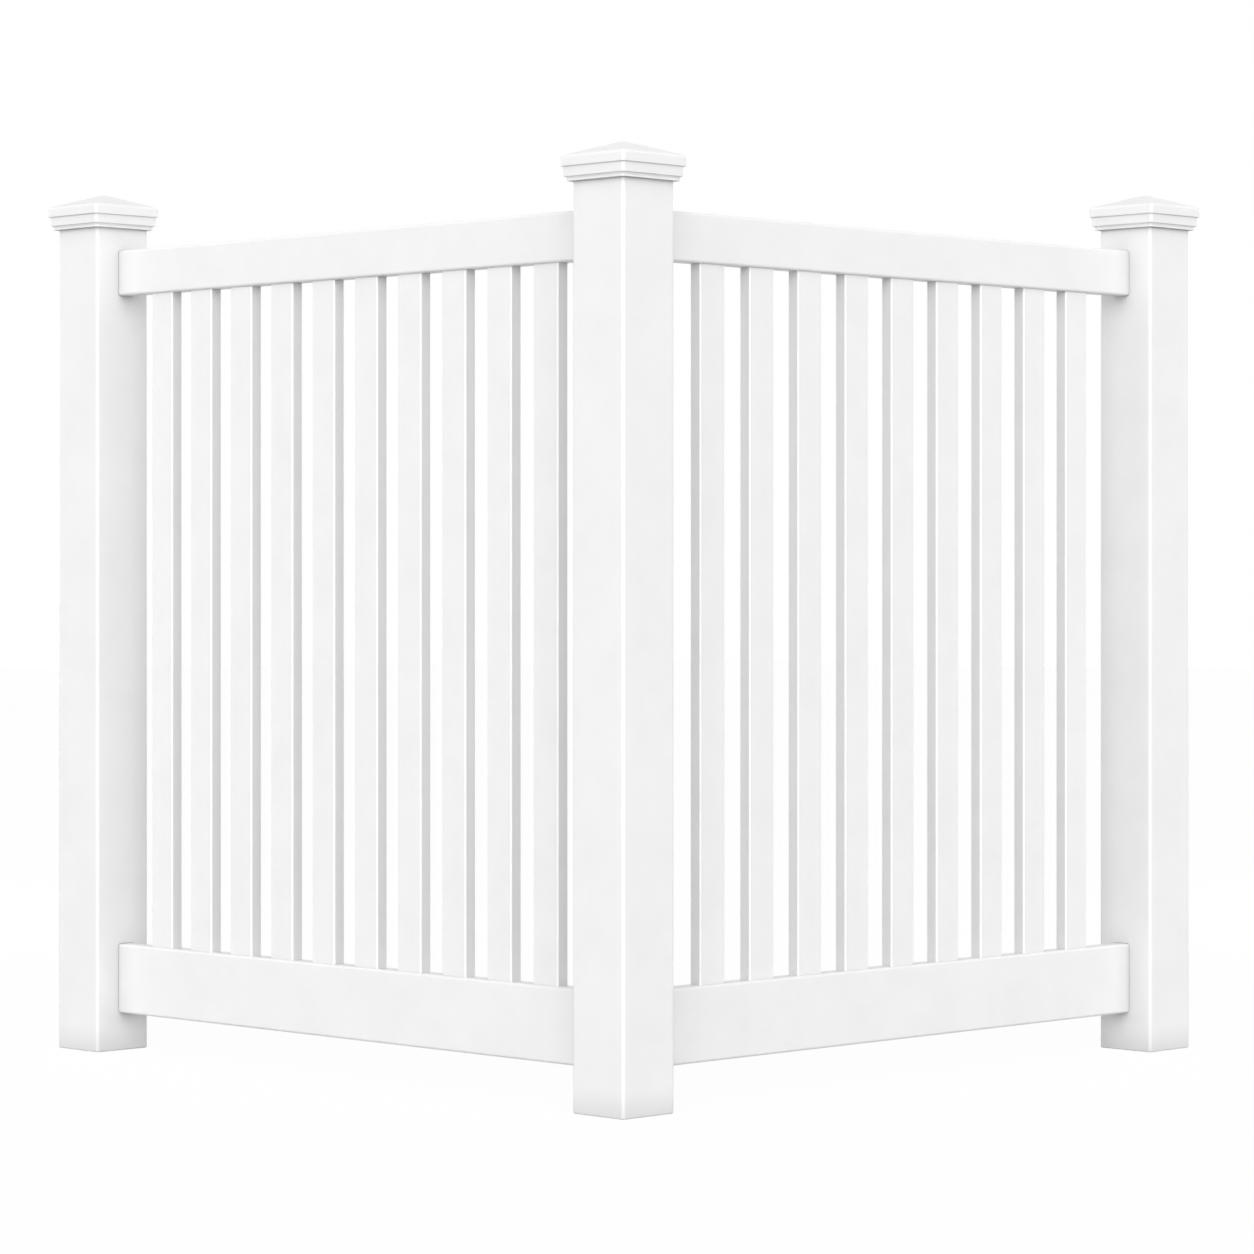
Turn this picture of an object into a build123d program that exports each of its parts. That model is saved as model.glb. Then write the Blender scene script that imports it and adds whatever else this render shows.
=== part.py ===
# Vinyl fence corner: two picket bays that meet at a right angle between three capped posts.
# Lengths are in millimetres. The origin is the middle of the corner post's foot, with Z up,
# the right-hand bay along +X and the left-hand bay along +Y. The outer sides face -Y and -X.
import os

from build123d import *

os.makedirs("parts", exist_ok=True)

# Posts: square tubes, routed on the sides that take rails
post_width = 127.0
post_wall = 3.8
post_corner_radius = 6.35
post_foot_bevel = 1.5
fence_height = 1627.0  # foot to the lower edge of the cap
clear_span = 1340.0  # between the facing sides of two posts

# Rails: hollow bars pushed through routed holes into the posts
rail_thickness = 38.1
top_rail_height = 88.9
bottom_rail_height = 136.5
rail_wall = 2.5
rail_edge_radius = 5.5
rail_setback = 53.0  # outer side of the posts to the outer side of the rails
top_rail_drop = 44.5  # below the lower edge of the cap
bottom_rail_rise = 74.5  # above the foot
rail_end_gap = 5.0  # between the ends of one bay's rails and the other bay's, inside the corner post
route_clearance = 0.8  # around a rail in its hole, apart from the edge it rests on

# Pickets: slim tubes that stand on the floor of the bottom rail
picket_width = 63.5
picket_thickness = 25.4
picket_wall = 1.8
picket_edge_radius = 3.0
picket_clearance = 0.5  # around a picket in its routed holes
picket_head_gap = 6.0  # under the upper wall of the top rail
left_picket_count = 10
left_picket_pitch = 120.4
right_picket_count = 9
right_picket_pitch = 128.2

# Caps: moulded shells with a sloped base, a band, an overhanging fascia and a low pyramid
cap_wall = 2.6
cap_clearance = 0.5  # around the post
cap_seat_depth = 38.0  # lower edge of the cap to the top of the post
base_height = 8.0
base_foot_overhang = 7.6
base_middle_overhang = 8.8
base_head_overhang = 11.2
band_height = 17.5
band_overhang = 12.3
fascia_height = 19.0
fascia_overhang = 15.8
pyramid_rise = 25.0
pyramid_tip = 6.0
shoulder_radius = 4.8
hip_radius = 3.0
moulding_bevel = 1.6
rib_thickness = 2.5
rib_spacing = 70.0
rib_root = 1.0  # how far a rib is sunk into the shell

smallest_radius = 0.5  # inside corner of a thin tube
level_margin = 0.01  # for picking edges and faces by their height

# Planes of the bays: x runs to the right seen from outside, y into the fence
post_spacing = clear_span + post_width
right_bay = Plane(origin=(0, 0, 0), x_dir=(1, 0, 0), z_dir=(0, 0, 1))
left_bay = Plane(origin=(0, post_spacing, 0), x_dir=(0, -1, 0), z_dir=(0, 0, 1))

# Heights and depths that several pieces share
post_height = fence_height + cap_seat_depth
rail_line = rail_setback + rail_thickness / 2 - post_width / 2
rail_insertion = post_width - rail_setback - rail_thickness - rail_end_gap
rail_start = post_width / 2 - rail_insertion
rail_length = clear_span + 2 * rail_insertion
top_rail_underside = fence_height - top_rail_drop - top_rail_height
bottom_rail_top = bottom_rail_rise + bottom_rail_height
picket_foot = bottom_rail_rise + rail_wall
picket_head = top_rail_underside + top_rail_height - rail_wall - picket_head_gap


def cut_rectangle(width, depth, radius):
    """Rectangle whose corners are cut across, close to a rounding of the given radius."""
    with BuildSketch() as shape:
        Rectangle(width, depth)
        chamfer(shape.vertices(), max(radius, smallest_radius) * (2 - 2**0.5))
    return shape.sketch


def tube_section(width, depth, radius, wall):
    """Section of an extruded tube with an even wall and rounded outside corners."""
    with BuildSketch() as shape:
        RectangleRounded(width, depth, radius)
        add(cut_rectangle(width - 2 * wall, depth - 2 * wall, radius - wall), mode=Mode.SUBTRACT)
    return shape.sketch


def upright_plane(x, y, height):
    """Level plane with its origin at a point of the fence."""
    return Plane(origin=(x, y, height), x_dir=(1, 0, 0), z_dir=(0, 0, 1))


def rail_section_plane(bay, distance, height):
    """Plane across a bay's rails, at a distance along the bay."""
    origin = bay.from_local_coords((distance, rail_line, height))
    return Plane(origin=origin, x_dir=bay.y_dir, z_dir=bay.x_dir)


def picket_places(count, pitch):
    """Middles of a bay's pickets, evenly spaced about the middle of the span."""
    first = post_spacing / 2 - pitch * (count - 1) / 2
    return [(first + pitch * number, rail_line) for number in range(count)]


def bay_level(bay, height):
    """Level plane in a bay's own directions."""
    return Plane(origin=bay.origin + Vector(0, 0, height), x_dir=bay.x_dir, z_dir=bay.z_dir)


def make_post(name, x, y, routes):
    """Square tube with a hole for each rail; routes holds (bay, distance) of each routed side."""
    with BuildPart() as post:
        with BuildSketch(upright_plane(x, y, 0)):
            add(tube_section(post_width, post_width, post_corner_radius, post_wall))
        extrude(amount=post_height)
        foot = post.faces().sort_by(Axis.Z)[0]
        chamfer(foot.outer_wire().edges(), min(post_foot_bevel, post_wall / 2))
        for bay, distance in routes:
            for underside, height in (
                (bottom_rail_rise, bottom_rail_height),
                (top_rail_underside, top_rail_height),
            ):
                hole_height = height + route_clearance
                hole = cut_rectangle(rail_thickness + 2 * route_clearance, hole_height, rail_edge_radius)
                with BuildSketch(rail_section_plane(bay, distance, underside + hole_height / 2)):
                    add(hole)
                extrude(amount=post_wall, both=True, mode=Mode.SUBTRACT)
    post.part.label = name
    export_step(post.part, f"parts/{name}.step")


def make_rail(name, bay, underside, height, picket_wall_height, count, pitch):
    """Hollow rail of one bay, with a routed hole for each picket in one of its walls."""
    with BuildPart() as rail:
        with BuildSketch(rail_section_plane(bay, rail_start, underside + height / 2)):
            add(tube_section(rail_thickness, height, rail_edge_radius, rail_wall))
        extrude(amount=rail_length)
        picket_hole = cut_rectangle(
            picket_width + 2 * picket_clearance,
            picket_thickness + 2 * picket_clearance,
            picket_edge_radius,
        )
        with BuildSketch(bay_level(bay, picket_wall_height)):
            with Locations(*picket_places(count, pitch)):
                add(picket_hole)
        extrude(amount=rail_wall, both=True, mode=Mode.SUBTRACT)
    rail.part.label = name
    export_step(rail.part, f"parts/{name}.step")


def make_pickets(side, bay, count, pitch):
    """The pickets of one bay, numbered from the left seen from outside."""
    for number, (along, depth) in enumerate(picket_places(count, pitch), start=1):
        name = f"{side}_picket_{number:02d}"
        place = bay.from_local_coords((along, depth, picket_foot))
        with BuildPart() as picket:
            with BuildSketch(Plane(origin=place, x_dir=bay.x_dir, z_dir=bay.z_dir)):
                add(tube_section(picket_width, picket_thickness, picket_edge_radius, picket_wall))
            extrude(amount=picket_head - picket_foot)
        picket.part.label = name
        export_step(picket.part, f"parts/{name}.step")


def square_side(overhang):
    """Side of a square that stands out from the post all round."""
    return post_width + 2 * overhang


def cap_outside(overhang):
    """Outside of a cap at one level."""
    with BuildSketch() as shape:
        RectangleRounded(square_side(overhang), square_side(overhang), post_corner_radius)
    return shape.sketch


def cap_inside(overhang):
    """Inside of a cap at one level, a wall's thickness in from its outside."""
    side = square_side(overhang - cap_wall)
    return cut_rectangle(side, side, post_corner_radius - cap_wall)


def edges_between(part, low, high):
    """Edges that lie wholly between two heights."""
    return part.edges().filter_by(
        lambda edge: edge.bounding_box().min.Z > low and edge.bounding_box().max.Z < high
    )


def sloped_block(outline, x, y, bottom, shoulder, half_side, slope):
    """Upright block with its top cut to four slopes that rise from its sides to a small flat."""
    with BuildPart() as block:
        with BuildSketch(upright_plane(x, y, bottom)):
            add(outline)
        extrude(amount=shoulder - bottom + slope * (half_side - pyramid_tip / 2))
        for out_x, out_y in ((1, 0), (0, 1), (-1, 0), (0, -1)):
            foot_of_slope = (x + out_x * half_side, y + out_y * half_side, shoulder)
            slope_plane = Plane(origin=foot_of_slope, z_dir=(out_x * slope, out_y * slope, 1))
            split(bisect_by=slope_plane, keep=Keep.BOTTOM)
    return block.part


def make_cap(name, x, y):
    """Moulded cap: a stepped shell, with ribs inside that centre it and rest on the post."""
    band_bottom = fence_height + base_height
    fascia_bottom = band_bottom + band_height
    shoulder = fascia_bottom + fascia_height
    peak = shoulder + pyramid_rise
    # Inside of the shell, with the wall measured square to the pyramid's slope
    fascia_half = square_side(fascia_overhang) / 2
    slope = pyramid_rise / (fascia_half - pyramid_tip / 2)
    upright_wall = cap_wall * (1 + slope**2) ** 0.5
    inner_shoulder = shoulder - upright_wall + cap_wall * slope
    inner_half = fascia_half - cap_wall
    # Ribs reach from over the post's wall into the band
    rib_reach = square_side(band_overhang - cap_wall) / 2 + rib_root
    rib_bottom = band_bottom + cap_wall
    rib_top = inner_shoulder + slope * (inner_half - rib_reach) + rib_root
    post_inside = post_width - 2 * post_wall
    post_space = post_width + 2 * cap_clearance

    top_outside = sloped_block(
        cap_outside(fascia_overhang), x, y, fascia_bottom, shoulder, fascia_half, slope
    )
    top_inside = sloped_block(
        cap_inside(fascia_overhang), x, y, fascia_bottom + cap_wall, inner_shoulder, inner_half, slope
    )

    with BuildPart() as cap:
        # Coved base and band
        for rise, overhang in (
            (0, base_foot_overhang),
            (base_height / 2, base_middle_overhang),
            (base_height, base_head_overhang),
        ):
            with BuildSketch(upright_plane(x, y, fence_height + rise)):
                add(cap_outside(overhang))
        loft(ruled=True)
        with BuildSketch(upright_plane(x, y, band_bottom)):
            add(cap_outside(band_overhang))
        extrude(amount=band_height)
        # Fascia and pyramid
        add(top_outside)
        shoulder_band = (shoulder - level_margin, shoulder + slope * post_corner_radius)
        hips = edges_between(cap, shoulder, peak + level_margin) - edges_between(cap, *shoulder_band)
        fillet(hips - edges_between(cap, peak - level_margin, peak + level_margin), hip_radius)
        fillet(edges_between(cap, *shoulder_band), shoulder_radius)
        # Lower edges of the band and the fascia
        for level, step in (
            (fascia_bottom, fascia_overhang - band_overhang),
            (band_bottom, band_overhang - base_head_overhang),
        ):
            underside = cap.faces().filter_by_position(Axis.Z, level - level_margin, level + level_margin)[0]
            chamfer(underside.outer_wire().edges(), min(moulding_bevel, step * 3 / 4))
        # Hollow
        for low, high, overhang in (
            (fence_height, band_bottom + cap_wall, base_foot_overhang),
            (band_bottom + cap_wall, fascia_bottom + cap_wall, band_overhang),
        ):
            with BuildSketch(upright_plane(x, y, low)):
                add(cap_inside(overhang))
            extrude(amount=high - low, mode=Mode.SUBTRACT)
        add(top_inside, mode=Mode.SUBTRACT)
        # Ribs, cut away for the post up to the ledges that rest on its top
        with BuildSketch(upright_plane(x, y, rib_bottom)):
            with GridLocations(0, rib_spacing, 1, 2):
                Rectangle(2 * rib_reach, rib_thickness)
            with GridLocations(rib_spacing, 0, 2, 1):
                Rectangle(rib_thickness, 2 * rib_reach)
            Rectangle(post_inside, post_inside, mode=Mode.SUBTRACT)
        extrude(amount=rib_top - rib_bottom)
        with BuildSketch(upright_plane(x, y, rib_bottom)):
            Rectangle(post_space, post_space)
        extrude(amount=post_height - rib_bottom, mode=Mode.SUBTRACT)
    cap.part.label = name
    export_step(cap.part, f"parts/{name}.step")


far_side = post_spacing - post_width / 2
near_side = post_width / 2
make_post("corner_post", 0, 0, [(right_bay, near_side), (left_bay, far_side)])
make_post("right_end_post", post_spacing, 0, [(right_bay, far_side)])
make_post("left_end_post", 0, post_spacing, [(left_bay, near_side)])

for side, bay, count, pitch in (
    ("left", left_bay, left_picket_count, left_picket_pitch),
    ("right", right_bay, right_picket_count, right_picket_pitch),
):
    make_rail(f"{side}_top_rail", bay, top_rail_underside, top_rail_height, top_rail_underside, count, pitch)
    make_rail(f"{side}_bottom_rail", bay, bottom_rail_rise, bottom_rail_height, bottom_rail_top, count, pitch)
    make_pickets(side, bay, count, pitch)

make_cap("corner_post_cap", 0, 0)
make_cap("right_end_post_cap", post_spacing, 0)
make_cap("left_end_post_cap", 0, post_spacing)
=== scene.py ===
import math

import bmesh
import bpy
from mathutils import Matrix, Vector


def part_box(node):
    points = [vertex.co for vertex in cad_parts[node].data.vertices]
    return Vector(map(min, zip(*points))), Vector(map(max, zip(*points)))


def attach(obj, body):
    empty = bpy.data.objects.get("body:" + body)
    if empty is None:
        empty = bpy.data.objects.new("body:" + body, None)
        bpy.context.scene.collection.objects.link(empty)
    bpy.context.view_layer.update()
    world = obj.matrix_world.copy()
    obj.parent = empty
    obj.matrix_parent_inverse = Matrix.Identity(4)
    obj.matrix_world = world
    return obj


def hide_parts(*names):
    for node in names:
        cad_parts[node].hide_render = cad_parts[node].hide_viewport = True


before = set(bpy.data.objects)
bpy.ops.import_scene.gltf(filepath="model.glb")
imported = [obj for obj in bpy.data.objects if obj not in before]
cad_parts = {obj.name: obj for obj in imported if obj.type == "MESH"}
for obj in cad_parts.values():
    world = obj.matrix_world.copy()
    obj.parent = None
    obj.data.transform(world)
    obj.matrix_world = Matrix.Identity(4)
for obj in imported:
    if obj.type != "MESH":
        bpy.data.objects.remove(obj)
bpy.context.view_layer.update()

print("frame:", len(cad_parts), "nodes")

scene = bpy.context.scene
scene.view_settings.view_transform = "Standard"


# sizes that the pieces share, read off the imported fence

def middleOf(node):
    low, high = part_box(node)
    return (low + high) / 2


def spanOf(node):
    low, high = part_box(node)
    return high - low


postWidth = spanOf("corner_post").x
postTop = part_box("corner_post")[1].z
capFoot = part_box("corner_post_cap")[0].z
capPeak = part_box("corner_post_cap")[1].z
postSpacing = middleOf("right_end_post").x
railLine = middleOf("right_top_rail").y  # middle of the rails, behind the line of the posts

quarterTurn = math.pi / 2

# a bay is made with x along it, to the right seen from outside, and y into the fence
bays = {
    "right": Matrix.Identity(4),
    "left": Matrix.Translation((0, postSpacing, 0)) @ Matrix.Rotation(-quarterTurn, 4, "Z"),
}


# mesh helpers

meshing = {
    "innerRadius": 0.0005,  # least rounding inside a tube
    "mergeDistance": 0.000001,
    "sharpAngle": math.radians(32),
    "flatFaceWeight": 90,  # how far flat faces win over roundings in the shading
}


def roundedOutline(width, depth, radius, steps):
    # corner points of a rectangle with rounded corners, anticlockwise
    points = []
    for turn, (sideX, sideY) in enumerate(((1, 1), (-1, 1), (-1, -1), (1, -1))):
        for step in range(steps + 1):
            angle = quarterTurn * (turn + step / steps)
            x = sideX * (width / 2 - radius) + radius * math.cos(angle)
            y = sideY * (depth / 2 - radius) + radius * math.sin(angle)
            points.append((x, y))
    return points


def skinRings(shape, rings, closed=False):
    # joins rings of points one after the other; closed joins the last to the first as well
    loops = [[shape.verts.new(point) for point in ring] for ring in rings]
    pairs = list(zip(loops, loops[1:]))
    if closed:
        pairs.append((loops[-1], loops[0]))
    for lower, upper in pairs:
        for i in range(len(lower)):
            j = (i + 1) % len(lower)
            shape.faces.new((lower[i], lower[j], upper[j], upper[i]))
    return loops


def objectFrom(shape, name):
    bmesh.ops.recalc_face_normals(shape, faces=shape.faces)
    mesh = bpy.data.meshes.new(name)
    shape.to_mesh(mesh)
    shape.free()
    piece = bpy.data.objects.new(name, mesh)
    scene.collection.objects.link(piece)
    return piece


def bakeModifiers(piece):
    # swaps the object's mesh for what its modifiers make of it
    graph = bpy.context.evaluated_depsgraph_get()
    result = bpy.data.meshes.new_from_object(
        piece.evaluated_get(graph), preserve_all_data_layers=True, depsgraph=graph
    )
    result.name = piece.name
    piece.modifiers.clear()
    piece.data = result
    return piece


def combine(piece, others, operation):
    # cuts the other shapes out of the piece, or joins them to it
    for other in others:
        step = piece.modifiers.new("combine", "BOOLEAN")
        step.operation = operation
        step.solver = "EXACT"
        step.object = other
    bakeModifiers(piece)
    for other in others:
        bpy.data.objects.remove(other)


def smoothEdges(piece, sharpAngle=meshing["sharpAngle"]):
    # soft shading over the roundings, with the flat faces kept truly flat
    mesh = piece.data
    work = bmesh.new()
    work.from_mesh(mesh)
    bmesh.ops.remove_doubles(work, verts=work.verts, dist=meshing["mergeDistance"])
    for face in work.faces:
        face.smooth = True
    for edge in work.edges:
        edge.smooth = len(edge.link_faces) == 2 and edge.calc_face_angle(0) < sharpAngle
    work.to_mesh(mesh)
    work.free()
    weight = piece.modifiers.new("weight", "WEIGHTED_NORMAL")
    weight.mode = "FACE_AREA"
    weight.weight = meshing["flatFaceWeight"]
    weight.keep_sharp = True
    bakeModifiers(piece)


def tubePiece(name, width, depth, section, levels):
    # upright tube; levels go up its outside as (height, inset), and its inside is plain
    wall = section["wall"]
    radius = section["cornerRadius"]
    steps = section["cornerSteps"]
    shape = bmesh.new()
    rings = []
    for height, inset in levels:
        outline = roundedOutline(width - 2 * inset, depth - 2 * inset, radius - inset, steps)
        rings.append([(x, y, height) for x, y in outline])
    innerRadius = max(radius - wall, meshing["innerRadius"])
    inside = roundedOutline(width - 2 * wall, depth - 2 * wall, innerRadius, steps)
    for height in (levels[-1][0], levels[0][0]):
        rings.append([(x, y, height) for x, y in inside])
    skinRings(shape, rings, closed=True)
    return objectFrom(shape, name)


def easedCutter(width, height, section, place):
    # block for a routed hole, flared where it leaves the wall; place turns its z out of the wall
    depth = section["wall"] + section["routeOvercut"]
    ease = section["routeEase"]
    radius = section["routeRadius"]
    steps = section["routeSteps"]
    shape = bmesh.new()
    rings = []
    for out, grow in ((-depth, 0), (-ease, 0), (0, ease), (ease, 2 * ease)):
        outline = roundedOutline(width + 2 * grow, height + 2 * grow, radius + grow, steps)
        rings.append([place @ Vector((x, y, out)) for x, y in outline])
    loops = skinRings(shape, rings)
    shape.faces.new(loops[0])
    shape.faces.new(loops[-1])
    return objectFrom(shape, "route")


# white vinyl; each range gives the two ends between which a mask fades

vinyl = {
    "tone": (0.880, 0.880, 0.882),
    "dullTone": (0.850, 0.851, 0.853),  # faint clouds in the white
    "cloudSize": 9.0,
    "cloudDetail": 5,
    "cloudSoftness": 0.6,
    "cloudRange": (0.3, 0.62),
    "recessShadeTone": 0.78,  # painted shade: share of the white that is left deep between the pieces
    "recessReach": 0.055,
    "recessRange": (0.4, 1.0),
    "recessLocal": False,  # True where only the piece's own shape counts
    "creaseShadeTone": (0.60, 0.60, 0.60),  # painted shade in the creases
    "creaseShadeShare": 0.6,
    "creaseReach": 0.005,
    "creaseRange": (0.25, 0.95),
    "edgeHighlightTone": (0.90, 0.90, 0.90),  # painted highlight along the edges
    "edgeHighlightShare": 0.8,
    "edgeReach": 0.0016,
    "edgeRange": (0.55, 0.95),
    "cornerHighlight": 0.0,  # how much of the painted edge highlight the upright roundings get
    "cornerRange": (0.08, 0.35),
    "grain": (160, 160, 3),  # its fineness along x, y and z, low along the extruded length
    "grainDetail": 6,
    "grainSoftness": 0.55,
    "grainStrength": 0.25,
    "grainDepth": 0.00003,
    "roughness": (0.34, 0.44),
    "roughnessRange": (0.3, 0.7),
    "refraction": 1.5,
    "creaseSamples": 8,
    "edgeSamples": 6,
}

# what each kind of piece has otherwise
kinds = {
    "post": {},
    "cap": {"grain": (220, 220, 220), "grainStrength": 0.35},
    "leftRail": {"grain": (160, 3, 160)},
    "rightRail": {"grain": (3, 160, 160)},
    "picket": {
        "grain": (190, 190, 3),
        "creaseReach": 0.022,
        # deeper painted shade between the pickets
        "recessShadeTone": 0.66,
        "recessReach": 0.09,
        "recessLocal": True,
        # brighter painted highlight on the picket edges and upright roundings
        "edgeHighlightTone": (0.98, 0.98, 0.98),
        "cornerHighlight": 1.0,
    },
}


def addNode(tree, kind, **settings):
    node = tree.nodes.new(kind)
    for name, value in settings.items():
        setattr(node, name, value)
    return node


def mathNode(tree, operation, *values):
    # a sum on sockets or plain numbers
    node = addNode(tree, "ShaderNodeMath", operation=operation)
    for socket, value in zip(node.inputs, values):
        if isinstance(value, (int, float)):
            socket.default_value = value
        else:
            tree.links.new(value, socket)
    return node.outputs["Value"]


def fadeNode(tree, source, ends, first, last):
    # first at the lower end of the source's range, last at the upper one
    node = addNode(tree, "ShaderNodeMapRange")
    node.inputs["From Min"].default_value = ends[0]
    node.inputs["From Max"].default_value = ends[1]
    node.inputs["To Min"].default_value = first
    node.inputs["To Max"].default_value = last
    tree.links.new(source, node.inputs["Value"])
    return node.outputs["Result"]


def opennessNode(tree, reach, **settings):
    # 1 on open surfaces, less where something is near
    node = addNode(tree, "ShaderNodeAmbientOcclusion", **settings)
    node.inputs["Distance"].default_value = reach
    return node.outputs["AO"]


def noiseNode(tree, source, scale, detail, softness):
    node = addNode(tree, "ShaderNodeTexNoise")
    node.inputs["Scale"].default_value = scale
    node.inputs["Detail"].default_value = detail
    node.inputs["Roughness"].default_value = softness
    tree.links.new(source, node.inputs["Vector"])
    return node.outputs["Fac"]


def tintNode(tree, source, share, tone):
    # lays a plain tone over the source colour
    node = addNode(tree, "ShaderNodeMix", data_type="RGBA", blend_type="MIX")
    node.inputs["B"].default_value = (*tone, 1)
    tree.links.new(share, node.inputs["Factor"])
    tree.links.new(source, node.inputs["A"])
    return node.outputs["Result"]


def vinylMaterial(name, look):
    material = bpy.data.materials.new(name)
    material.use_nodes = True
    tree = material.node_tree
    tree.nodes.clear()
    link = tree.links.new
    output = addNode(tree, "ShaderNodeOutputMaterial")
    shader = addNode(tree, "ShaderNodeBsdfPrincipled")
    shader.inputs["IOR"].default_value = look["refraction"]
    link(shader.outputs["BSDF"], output.inputs["Surface"])
    place = addNode(tree, "ShaderNodeTexCoord")

    # faint clouds in the colour
    clouds = noiseNode(
        tree, place.outputs["Object"], look["cloudSize"], look["cloudDetail"], look["cloudSoftness"]
    )
    colour = addNode(tree, "ShaderNodeValToRGB")
    tones = (look["dullTone"], look["tone"])
    for stop, position, tone in zip(colour.color_ramp.elements, look["cloudRange"], tones):
        stop.position = position
        stop.color = (*tone, 1)
    link(clouds, colour.inputs["Fac"])

    # painted shade, darker in the recesses between the pieces
    recess = opennessNode(
        tree, look["recessReach"], samples=look["creaseSamples"], only_local=look["recessLocal"]
    )
    recessShaded = addNode(tree, "ShaderNodeVectorMath", operation="SCALE")
    link(colour.outputs["Color"], recessShaded.inputs[0])
    link(
        fadeNode(tree, recess, look["recessRange"], look["recessShadeTone"], 1.0),
        recessShaded.inputs["Scale"],
    )

    # painted shade in the creases
    crease = opennessNode(tree, look["creaseReach"], samples=look["creaseSamples"])
    creaseShadeMask = fadeNode(tree, crease, look["creaseRange"], look["creaseShadeShare"], 0.0)
    creaseShaded = tintNode(tree, recessShaded.outputs["Vector"], creaseShadeMask, look["creaseShadeTone"])

    # painted highlight, edges a little brighter
    edge = opennessNode(
        tree, look["edgeReach"], samples=look["edgeSamples"], inside=True, only_local=True
    )
    edgeHighlightShare = fadeNode(tree, edge, look["edgeRange"], look["edgeHighlightShare"], 0.0)

    # painted highlight on the upright roundings, known by a normal halfway between x and y
    axes = addNode(tree, "ShaderNodeSeparateXYZ")
    link(place.outputs["Normal"], axes.inputs["Vector"])
    halfway = mathNode(tree, "MULTIPLY", axes.outputs["X"], axes.outputs["Y"])
    rounding = mathNode(tree, "ABSOLUTE", halfway)
    cornerHighlightShare = fadeNode(tree, rounding, look["cornerRange"], 0.0, look["cornerHighlight"])
    highlightShare = mathNode(tree, "MAXIMUM", edgeHighlightShare, cornerHighlightShare)
    link(tintNode(tree, creaseShaded, highlightShare, look["edgeHighlightTone"]), shader.inputs["Base Color"])

    # grain along the length, for the gloss and the bump
    stretch = addNode(tree, "ShaderNodeMapping")
    stretch.inputs["Scale"].default_value = look["grain"]
    link(place.outputs["Object"], stretch.inputs["Vector"])
    grain = noiseNode(
        tree, stretch.outputs["Vector"], 1, look["grainDetail"], look["grainSoftness"]
    )
    link(
        fadeNode(tree, grain, look["roughnessRange"], *look["roughness"]),
        shader.inputs["Roughness"],
    )
    bump = addNode(tree, "ShaderNodeBump")
    bump.inputs["Strength"].default_value = look["grainStrength"]
    bump.inputs["Distance"].default_value = look["grainDepth"]
    link(grain, bump.inputs["Height"])
    link(bump.outputs["Normal"], shader.inputs["Normal"])
    return material


finishes = {}
for kind, own in kinds.items():
    finishes[kind] = vinylMaterial(kind + "Vinyl", {**vinyl, **own})
print("finishes:", len(finishes))


def finishPiece(piece, finish, nodes):
    piece.data.materials.clear()
    piece.data.materials.append(finishes[finish])
    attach(piece, "root")
    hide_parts(*nodes)


# posts

post = {
    "wall": 0.0038,
    "cornerRadius": 0.00635,
    "cornerSteps": 10,
    "footRadius": 0.0024,
    "footSteps": 4,
    "routeClearance": 0.0005,
    "routeRadius": 0.0055,
    "routeSteps": 6,
    "routeEase": 0.0006,
    "routeOvercut": 0.004,  # how far the cutter goes on behind the wall
}

# each post with the bays it carries, and whether it stands at the start of the bay
postRoutes = {
    "corner_post": (("right", True), ("left", False)),
    "right_end_post": (("right", False),),
    "left_end_post": (("left", True),),
}


def footLevels(radius, steps, top):
    # rounding of the cut end, then straight up
    levels = []
    for step in range(steps + 1):
        angle = quarterTurn * step / steps
        levels.append((radius * (1 - math.sin(angle)), radius * (1 - math.cos(angle))))
    levels.reverse()
    return levels + [(top, 0)]


def routeCutters(bay, atStart):
    # one cutter for each rail of a bay, on the side of the post that faces along the bay
    cutters = []
    side = 1 if atStart else -1
    along = postWidth / 2 if atStart else postSpacing - postWidth / 2
    clearance = post["routeClearance"]
    for kind in ("top_rail", "bottom_rail"):
        low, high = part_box(f"{bay}_{kind}")
        width = spanOf(f"right_{kind}").y + 2 * clearance
        height = high.z - low.z + clearance
        place = Matrix.Translation((along, railLine, low.z + height / 2))
        place = place @ Matrix.Rotation(side * quarterTurn, 4, "Y")
        place = place @ Matrix.Rotation(quarterTurn, 4, "Z")
        cutters.append(easedCutter(width, height, post, bays[bay] @ place))
    return cutters


for name, routes in postRoutes.items():
    levels = footLevels(post["footRadius"], post["footSteps"], postTop)
    piece = tubePiece(name + "_tube", postWidth, postWidth, post, levels)
    middle = middleOf(name)
    piece.data.transform(Matrix.Translation((middle.x, middle.y, 0)))
    cutters = [cutter for bay, atStart in routes for cutter in routeCutters(bay, atStart)]
    combine(piece, cutters, "DIFFERENCE")
    smoothEdges(piece)
    finishPiece(piece, "post", [name])
print("posts:", len(postRoutes))


# rails

rail = {
    "wall": 0.0025,
    "cornerRadius": 0.0055,
    "cornerSteps": 8,
    "endEase": 0.0004,
    "picketClearance": 0.0005,
    "routeRadius": 0.003,
    "routeSteps": 5,
    "routeEase": 0.0006,
    "routeOvercut": 0.002,
}


def picketsOf(bay):
    return sorted(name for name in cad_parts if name.startswith(bay + "_picket_"))


def alongBay(bay, point):
    return bays[bay].inverted() @ point


def picketCutters(bay, level, upward):
    # one cutter for each picket, into the wall of the rail that faces the pickets
    cutters = []
    clearance = rail["picketClearance"]
    for name in picketsOf(bay):
        middle = alongBay(bay, middleOf(name))
        span = spanOf(name)
        width = max(span.x, span.y) + 2 * clearance
        depth = min(span.x, span.y) + 2 * clearance
        place = Matrix.Translation((middle.x, railLine, level))
        if not upward:
            place = place @ Matrix.Rotation(math.pi, 4, "X")
        cutters.append(easedCutter(width, depth, rail, bays[bay] @ place))
    return cutters


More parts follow.
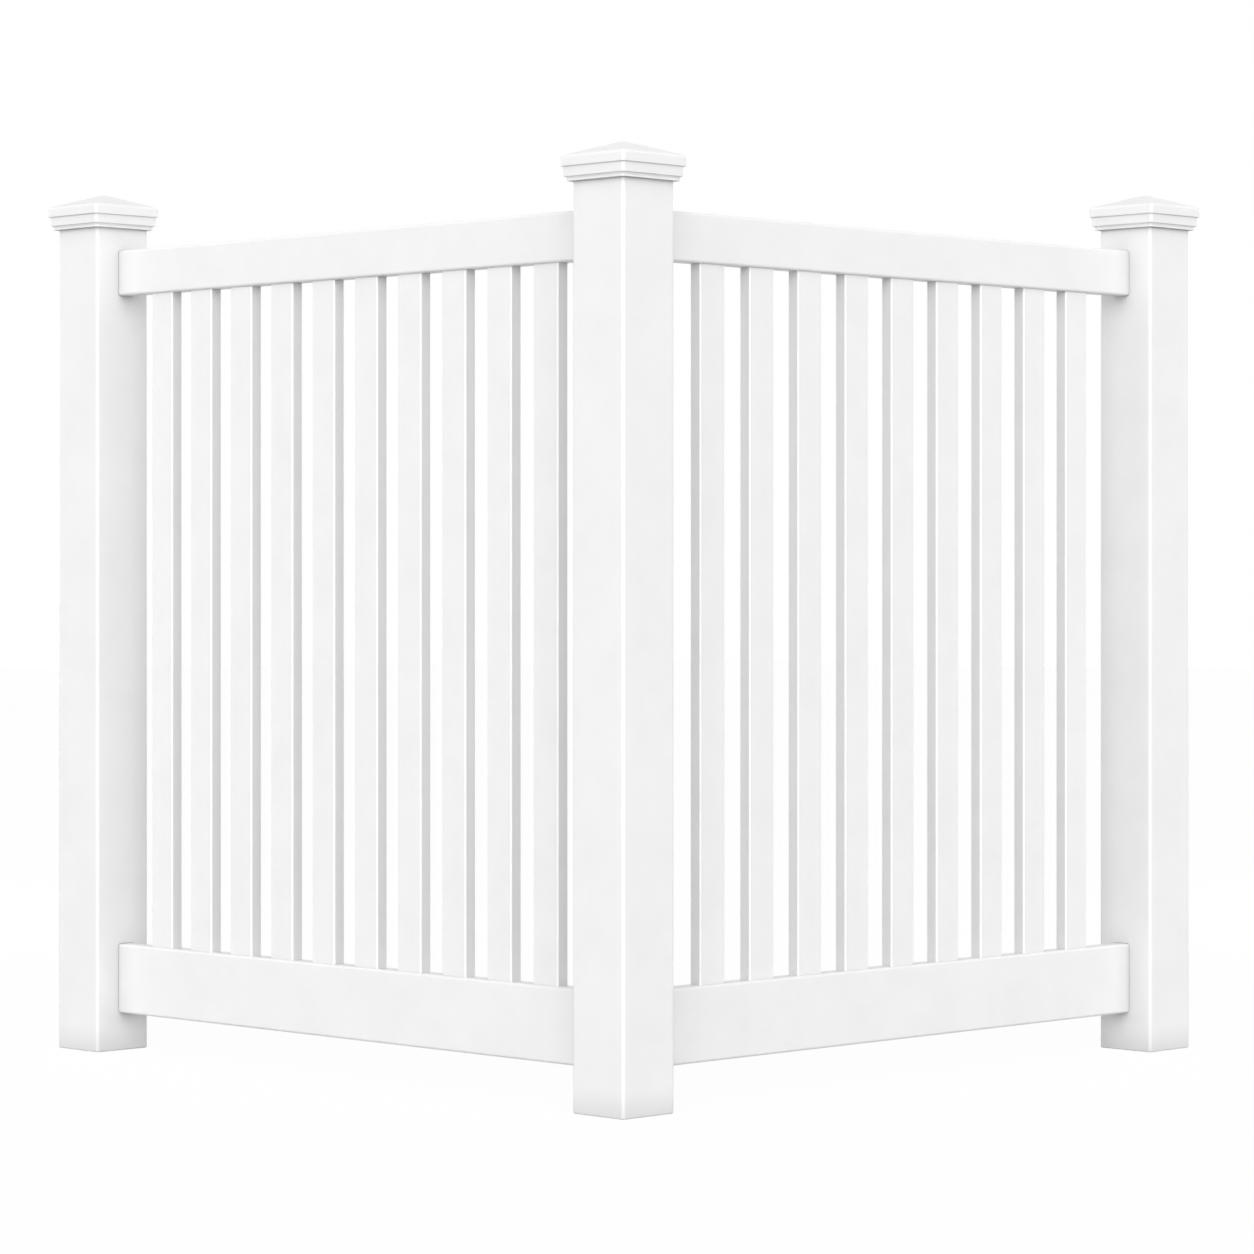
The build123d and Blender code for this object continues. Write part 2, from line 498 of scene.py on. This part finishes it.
for bay in ("left", "right"):
    for kind, upward in (("top_rail", False), ("bottom_rail", True)):
        node = f"{bay}_{kind}"
        low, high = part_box(node)
        ends = [alongBay(bay, corner) for corner in (low, high)]
        start = min(end.x for end in ends)
        length = abs(ends[1].x - ends[0].x)
        thickness = abs(ends[1].y - ends[0].y)
        height = high.z - low.z
        ease = rail["endEase"]
        levels = [(0, ease), (ease, 0), (length - ease, 0), (length, ease)]
        piece = tubePiece(node + "_bar", height, thickness, rail, levels)
        # lay the tube down along the bay
        lay = Matrix.Translation((start, railLine, low.z + height / 2))
        lay = lay @ Matrix.Rotation(quarterTurn, 4, "Y")
        piece.data.transform(bays[bay] @ lay)
        combine(piece, picketCutters(bay, high.z if upward else low.z, upward), "DIFFERENCE")
        smoothEdges(piece)
        finishPiece(piece, bay + "Rail", [node])
print("rails: 4")


# pickets, one row for each bay

picket = {
    "wall": 0.0018,
    "edgeRadius": 0.003,
    "edgeSteps": 6,
    "weldDistance": 0.00001,
}


def picketRowTree():
    tree = bpy.data.node_groups.new("picketRow", "GeometryNodeTree")
    face = tree.interface
    face.new_socket("Geometry", in_out="OUTPUT", socket_type="NodeSocketGeometry")
    for label, kind in (
        ("Count", "NodeSocketInt"),
        ("Pitch", "NodeSocketFloat"),
        ("First", "NodeSocketFloat"),
        ("Line", "NodeSocketFloat"),
        ("Foot", "NodeSocketFloat"),
        ("Length", "NodeSocketFloat"),
        ("Width", "NodeSocketFloat"),
        ("Thickness", "NodeSocketFloat"),
        ("Wall", "NodeSocketFloat"),
        ("Edge Radius", "NodeSocketFloat"),
        ("Edge Steps", "NodeSocketInt"),
        ("Finish", "NodeSocketMaterial"),
    ):
        face.new_socket(label, in_out="INPUT", socket_type=kind)
    link = tree.links.new
    given = addNode(tree, "NodeGroupInput").outputs
    result = addNode(tree, "NodeGroupOutput")

    def outline(width, depth, radius):
        block = addNode(tree, "GeometryNodeCurvePrimitiveQuadrilateral", mode="RECTANGLE")
        link(width, block.inputs["Width"])
        link(depth, block.inputs["Height"])
        rounded = addNode(tree, "GeometryNodeFilletCurve")
        if "Mode" in rounded.inputs:
            rounded.inputs["Mode"].default_value = "Poly"
        else:
            rounded.mode = "POLY"
        link(block.outputs["Curve"], rounded.inputs["Curve"])
        link(given["Edge Steps"], rounded.inputs["Count"])
        link(radius, rounded.inputs["Radius"])
        return rounded.outputs["Curve"]

    twiceWall = mathNode(tree, "MULTIPLY", given["Wall"], 2.0)
    innerWidth = mathNode(tree, "SUBTRACT", given["Width"], twiceWall)
    innerDepth = mathNode(tree, "SUBTRACT", given["Thickness"], twiceWall)
    innerRadius = mathNode(tree, "SUBTRACT", given["Edge Radius"], given["Wall"])
    both = addNode(tree, "GeometryNodeJoinGeometry")
    link(outline(given["Width"], given["Thickness"], given["Edge Radius"]), both.inputs[0])
    link(outline(innerWidth, innerDepth, innerRadius), both.inputs[0])
    ring = addNode(tree, "GeometryNodeFillCurve")
    link(both.outputs[0], ring.inputs["Curve"])

    # wall of the tube, closed at its foot by the turned ring
    pull = addNode(tree, "GeometryNodeExtrudeMesh", mode="FACES")
    pull.inputs["Individual"].default_value = False
    up = addNode(tree, "ShaderNodeCombineXYZ")
    link(given["Length"], up.inputs["Z"])
    link(ring.outputs["Mesh"], pull.inputs["Mesh"])
    link(up.outputs["Vector"], pull.inputs["Offset"])
    turned = addNode(tree, "GeometryNodeFlipFaces")
    link(ring.outputs["Mesh"], turned.inputs["Mesh"])
    tube = addNode(tree, "GeometryNodeJoinGeometry")
    link(pull.outputs["Mesh"], tube.inputs[0])
    link(turned.outputs["Mesh"], tube.inputs[0])
    weld = addNode(tree, "GeometryNodeMergeByDistance")
    weld.inputs["Distance"].default_value = picket["weldDistance"]
    link(tube.outputs[0], weld.inputs["Geometry"])

    # the row
    start = addNode(tree, "ShaderNodeCombineXYZ")
    link(given["First"], start.inputs["X"])
    link(given["Line"], start.inputs["Y"])
    link(given["Foot"], start.inputs["Z"])
    step = addNode(tree, "ShaderNodeCombineXYZ")
    link(given["Pitch"], step.inputs["X"])
    row = addNode(tree, "GeometryNodeMeshLine", mode="OFFSET")
    link(given["Count"], row.inputs["Count"])
    link(start.outputs["Vector"], row.inputs["Start Location"])
    link(step.outputs["Vector"], row.inputs["Offset"])
    placed = addNode(tree, "GeometryNodeInstanceOnPoints")
    link(row.outputs["Mesh"], placed.inputs["Points"])
    link(weld.outputs["Geometry"], placed.inputs["Instance"])
    realized = addNode(tree, "GeometryNodeRealizeInstances")
    link(placed.outputs["Instances"], realized.inputs["Geometry"])
    dressed = addNode(tree, "GeometryNodeSetMaterial")
    link(realized.outputs["Geometry"], dressed.inputs["Geometry"])
    link(given["Finish"], dressed.inputs["Material"])
    link(dressed.outputs["Geometry"], result.inputs["Geometry"])
    return tree


def growFrom(tree, name, values):
    # runs a node tree on a new object and keeps its plain mesh
    piece = bpy.data.objects.new(name, bpy.data.meshes.new(name))
    scene.collection.objects.link(piece)
    grow = piece.modifiers.new(tree.name, "NODES")
    grow.node_group = tree
    for item in tree.interface.items_tree:
        if item.in_out == "INPUT" and item.name in values:
            grow[item.identifier] = values[item.name]
    return bakeModifiers(piece)


rowTree = picketRowTree()
for bay in ("left", "right"):
    names = picketsOf(bay)
    places = sorted(alongBay(bay, middleOf(name)).x for name in names)
    span = spanOf(names[0])
    piece = growFrom(rowTree, bay + "_pickets", {
        "Count": len(names),
        "Pitch": places[1] - places[0],
        "First": places[0],
        "Line": railLine,
        "Foot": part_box(names[0])[0].z,
        "Length": span.z,
        "Width": max(span.x, span.y),
        "Thickness": min(span.x, span.y),
        "Wall": picket["wall"],
        "Edge Radius": picket["edgeRadius"],
        "Edge Steps": picket["edgeSteps"],
        "Finish": finishes["picket"],
    })
    piece.data.transform(bays[bay])
    smoothEdges(piece)
    finishPiece(piece, "picket", names)
print("picket rows: 2")


# caps; an overhang is measured from the face of the post, a height from the foot of the cap

cap = {
    "wall": 0.0026,
    "cornerRadius": 0.00635,
    "cornerSteps": 10,
    "innerCornerRadius": 0.001,  # the least one
    "hipRadius": 0.0045,
    "beadOverhang": 0.0082,
    "beadRadius": 0.0009,
    "footOverhang": 0.0076,
    "coveFoot": 0.0026,
    "coveHeadOverhang": 0.0112,
    "coveSteps": 8,
    "baseHeight": 0.0080,
    "bandTop": 0.0255,
    "bandFootOverhang": 0.0120,
    "bandHeadOverhang": 0.0127,
    "bandRadius": 0.0010,
    "fasciaOverhang": 0.0158,
    "fasciaTop": 0.0445,
    "fasciaRadius": 0.0018,
    "shoulderRadius": 0.0060,
    "slopeInset": 0.003,  # how far from the middle the slope would meet the tip's height
    "slopeSteps": 4,
    "tipReach": 0.010,  # how far from the middle the tip starts to round
    "tipSteps": 5,
    "innerTipInset": 0.004,
    "innerSkirtOverhang": 0.0050,
    "ribThickness": 0.0025,
    "ribSpacing": 0.070,
    "ribInner": 0.0597,  # from the middle, over the wall of the post
    "ribRoot": 0.0010,
    "postClearance": 0.0005,
    "sharpAngle": math.radians(38),
}

halfPost = postWidth / 2
halfFascia = halfPost + cap["fasciaOverhang"]
capSlope = (capPeak - capFoot - cap["fasciaTop"]) / (halfFascia - cap["slopeInset"])


def arcPoints(centreOut, centreUp, radius, fromAngle, toAngle, steps):
    # points (overhang, height) on an arc, angles in degrees from straight out towards up
    points = []
    for step in range(steps + 1):
        angle = math.radians(fromAngle + (toAngle - fromAngle) * step / steps)
        out = centreOut + radius * math.cos(angle)
        points.append((out, centreUp + radius * math.sin(angle)))
    return points


def capProfile():
    # (overhang, height) from the inner edge of the foot, up the outside, to the tip
    points = [(cap["innerSkirtOverhang"], 0)]
    # bead at the foot
    bead = cap["beadRadius"]
    points += arcPoints(
        cap["beadOverhang"] - bead, bead, bead, fromAngle=-90, toAngle=40, steps=5
    )
    # cove, from upright to level under the band
    reach = cap["coveHeadOverhang"] - cap["footOverhang"]
    coveRise = cap["baseHeight"] - cap["coveFoot"]
    for step in range(cap["coveSteps"] + 1):
        angle = quarterTurn * step / cap["coveSteps"]
        out = cap["footOverhang"] + reach * (1 - math.cos(angle))
        points.append((out, cap["coveFoot"] + coveRise * math.sin(angle)))
    # band
    radius = cap["bandRadius"]
    points += arcPoints(
        cap["bandFootOverhang"] - radius, cap["baseHeight"] + radius, radius,
        fromAngle=-75, toAngle=0, steps=4,
    )
    points.append((cap["bandHeadOverhang"], cap["bandTop"]))
    # fascia
    radius = cap["fasciaRadius"]
    points += arcPoints(
        cap["fasciaOverhang"] - radius, cap["bandTop"] + radius, radius,
        fromAngle=-90, toAngle=0, steps=5,
    )
    # shoulder, rounded into the slope
    steepness = 90 - math.degrees(math.atan(capSlope))  # degrees between upright and the slope
    radius = cap["shoulderRadius"]
    tangent = radius * math.tan(math.radians(steepness) / 2)
    points += arcPoints(
        cap["fasciaOverhang"] - radius, cap["fasciaTop"] - tangent, radius,
        fromAngle=0, toAngle=steepness, steps=7,
    )
    # slope, then a soft tip
    tip = cap["tipReach"]
    tipHeight = cap["fasciaTop"] + capSlope * (halfFascia - tip)
    tipRise = capSlope * tip * 0.5
    shoulderOut, shoulderUp = points[-1]
    for step in range(cap["slopeSteps"]):
        share = (step + 1) / cap["slopeSteps"]
        out = shoulderOut + (tip - halfPost - shoulderOut) * share
        points.append((out, shoulderUp + (tipHeight - shoulderUp) * share))
    for step in range(1, cap["tipSteps"]):
        reachLeft = tip * math.cos(quarterTurn * step / cap["tipSteps"])
        points.append((reachLeft - halfPost, tipHeight + tipRise * (1 - (reachLeft / tip) ** 2)))
    return points, tipHeight + tipRise


def innerProfile():
    # (overhang, height) from under the tip down to the inner edge of the foot
    wall = cap["wall"]
    wallUp = wall * math.hypot(1, capSlope)
    points = []
    for share in (0.1, 0.5, 1.0):
        reach = (halfFascia - wall) * share
        height = cap["fasciaTop"] + capSlope * (halfFascia - reach) - wallUp
        points.append((reach - halfPost, height))
    fasciaInside = cap["fasciaOverhang"] - wall
    bandInside = cap["bandFootOverhang"] - wall
    points += [
        (fasciaInside, cap["bandTop"] + wall),
        (bandInside, cap["bandTop"] + wall),
        (bandInside, cap["baseHeight"] + wall),
        (cap["innerSkirtOverhang"], cap["baseHeight"] + wall),
    ]
    return points, cap["fasciaTop"] + capSlope * (halfFascia - cap["innerTipInset"]) - wallUp


def capCorner(out, inside):
    # corner radius of a ring: softer hips up the slope, never more than the ring allows
    radius = cap["cornerRadius"] if out > 0 else cap["hipRadius"]
    if inside:
        radius = max(radius - cap["wall"], cap["innerCornerRadius"])
    mostOfSide = 0.9
    return min(radius, (halfPost + out) * mostOfSide)


def capPiece(name, x, y):
    shape = bmesh.new()
    outside, peakUp = capProfile()
    inside, innerPeakUp = innerProfile()
    rings = []
    for profile, isInside in ((inside, True), (outside, False)):
        for out, up in profile:
            side = postWidth + 2 * out
            radius = capCorner(out, isInside)
            outline = roundedOutline(side, side, radius, cap["cornerSteps"])
            rings.append([(x + px, y + py, capFoot + up) for px, py in outline])
    loops = skinRings(shape, rings)
    for loop, height in ((loops[0], innerPeakUp), (loops[-1], peakUp)):
        centre = shape.verts.new((x, y, capFoot + height))
        for i in range(len(loop)):
            shape.faces.new((loop[i], loop[(i + 1) % len(loop)], centre))
    return objectFrom(shape, name)


def capRibs(x, y):
    # brackets inside that centre the cap on the post and rest on the post's top
    reach = halfPost + cap["bandFootOverhang"] - cap["wall"] + cap["ribRoot"]
    low = cap["baseHeight"] + cap["wall"] - cap["ribRoot"] / 2
    high = cap["fasciaTop"]
    ledge = postTop - capFoot
    outer = halfPost + cap["postClearance"]
    inner = cap["ribInner"]
    corners = [
        (outer, low), (reach, low), (reach, high), (inner, high), (inner, ledge), (outer, ledge),
    ]
    shape = bmesh.new()
    for turn in range(4):
        face = Matrix.Translation((x, y, capFoot)) @ Matrix.Rotation(turn * quarterTurn, 4, "Z")
        for side in (-1, 1):
            middle = side * cap["ribSpacing"] / 2
            ends = []
            for half in (-cap["ribThickness"] / 2, cap["ribThickness"] / 2):
                ends.append([face @ Vector((out, middle + half, up)) for out, up in corners])
            for loop in skinRings(shape, ends):
                shape.faces.new(loop)
    return objectFrom(shape, "capRibs")


for name in postRoutes:
    middle = middleOf(name)
    piece = capPiece(name + "_cap_shell", middle.x, middle.y)
    combine(piece, [capRibs(middle.x, middle.y)], "UNION")
    smoothEdges(piece, cap["sharpAngle"])
    finishPiece(piece, "cap", [name + "_cap"])
print("caps:", len(postRoutes))


# floor, world, lamps and camera

studio = {
    "floorSize": 60.0,
    "floorTone": 0.45,  # what the floor sends back to the fence
    "floorSeenTone": 0.9,
    "floorWhite": 0.96,  # share of plain white in what the camera sees of the floor
    "skyAround": 0.34,
    "skyFront": 2.62,  # at its brightest, behind the camera
    "skyTowards": (-0.707, -0.707, 0),
    "skyRange": (0.1, 0.95),  # from where it starts to where it is brightest
    "leftKeyPower": 28,  # the left bay is lit a little brighter than the right one
    "rightKeyPower": 18,
    "keySize": 3.0,
    "backPower": 50,
    "backSize": 1.5,
    "lampDistance": 6.0,
    "lampHeight": 1.5,
}


def lightPathWhite(tree):
    # 1 for what the camera sees itself or in a gloss or through glass
    path = addNode(tree, "ShaderNodeLightPath").outputs
    first = mathNode(tree, "MAXIMUM", path["Is Camera Ray"], path["Is Glossy Ray"])
    return mathNode(tree, "MAXIMUM", first, path["Is Transmission Ray"])


def blendShaders(tree, share, first, second):
    node = addNode(tree, "ShaderNodeMixShader")
    if isinstance(share, float):
        node.inputs["Fac"].default_value = share
    else:
        tree.links.new(share, node.inputs["Fac"])
    tree.links.new(first.outputs[0], node.inputs[1])
    tree.links.new(second.outputs[0], node.inputs[2])
    return node


def buildFloor():
    shape = bmesh.new()
    half = studio["floorSize"] / 2
    corners = [(-half, -half, 0), (half, -half, 0), (half, half, 0), (-half, half, 0)]
    shape.faces.new([shape.verts.new(corner) for corner in corners])
    floor = objectFrom(shape, "studioFloor")
    material = bpy.data.materials.new("studioFloorPaint")
    material.use_nodes = True
    tree = material.node_tree
    tree.nodes.clear()
    output = addNode(tree, "ShaderNodeOutputMaterial")
    paint = addNode(tree, "ShaderNodeBsdfDiffuse")
    paint.inputs["Color"].default_value = (*[studio["floorTone"]] * 3, 1)
    seen = addNode(tree, "ShaderNodeBsdfDiffuse")
    seen.inputs["Color"].default_value = (*[studio["floorSeenTone"]] * 3, 1)
    white = addNode(tree, "ShaderNodeEmission")
    white.inputs["Strength"].default_value = 1.0
    bright = blendShaders(tree, studio["floorWhite"], seen, white)
    choose = blendShaders(tree, lightPathWhite(tree), paint, bright)
    tree.links.new(choose.outputs[0], output.inputs["Surface"])
    floor.data.materials.append(material)


def skyLight(tree, strength):
    light = addNode(tree, "ShaderNodeBackground")
    light.inputs["Color"].default_value = (1, 1, 1, 1)
    light.inputs["Strength"].default_value = strength
    return light


def buildWorld():
    world = bpy.data.worlds.new("studioDome")
    scene.world = world
    world.use_nodes = True
    tree = world.node_tree
    tree.nodes.clear()
    link = tree.links.new
    output = addNode(tree, "ShaderNodeOutputWorld")
    place = addNode(tree, "ShaderNodeTexCoord")
    towards = addNode(tree, "ShaderNodeVectorMath", operation="DOT_PRODUCT")
    towards.inputs[1].default_value = studio["skyTowards"]
    link(place.outputs["Generated"], towards.inputs[0])
    dome = addNode(tree, "ShaderNodeMapRange", interpolation_type="SMOOTHSTEP")
    dome.inputs["From Min"].default_value = studio["skyRange"][0]
    dome.inputs["From Max"].default_value = studio["skyRange"][1]
    dome.inputs["To Min"].default_value = studio["skyAround"]
    dome.inputs["To Max"].default_value = studio["skyFront"]
    link(towards.outputs["Value"], dome.inputs["Value"])
    light = skyLight(tree, 1.0)
    link(dome.outputs["Result"], light.inputs["Strength"])
    choose = blendShaders(tree, lightPathWhite(tree), light, skyLight(tree, 1.0))
    link(choose.outputs[0], output.inputs["Surface"])


def softLamp(name, x, y, size, power):
    # square lamp that faces the middle of the bay on its side; its place is given from above
    lamp = bpy.data.lights.new(name, "AREA")
    lamp.shape = "SQUARE"
    lamp.size = size
    lamp.energy = power
    holder = bpy.data.objects.new(name, lamp)
    scene.collection.objects.link(holder)
    place = Vector((x, y, studio["lampHeight"]))
    target = Vector((halfBay, 0, postTop / 2))
    if abs(x) > abs(y):
        target = Vector((0, halfBay, postTop / 2))
    holder.location = place
    holder.rotation_euler = (target - place).to_track_quat("-Z", "Y").to_euler()
    holder.visible_camera = False


buildFloor()
buildWorld()
away = studio["lampDistance"]
halfBay = postSpacing / 2
softLamp("leftKey", -away, halfBay, studio["keySize"], studio["leftKeyPower"])
softLamp("rightKey", halfBay, -away, studio["keySize"], studio["rightKeyPower"])
softLamp("leftBack", away, halfBay, studio["backSize"], studio["backPower"])
softLamp("rightBack", halfBay, away, studio["backSize"], studio["backPower"])
print("lamps: 4")

view = {
    "place": (-5.188, -5.197, 0.932),
    "turn": -45.0,  # degrees, with the camera kept level
    "lens": 120.8,
    "sensorWidth": 36,
    "shiftUp": -0.0379,
    "farEnd": 200,
}


def buildCamera():
    data = bpy.data.cameras.new("photoCamera")
    data.sensor_width = view["sensorWidth"]
    data.lens = view["lens"]
    data.shift_y = view["shiftUp"]
    data.clip_end = view["farEnd"]
    camera = bpy.data.objects.new("photoCamera", data)
    scene.collection.objects.link(camera)
    camera.location = view["place"]
    camera.rotation_euler = (quarterTurn, 0, math.radians(view["turn"]))
    scene.camera = camera


buildCamera()
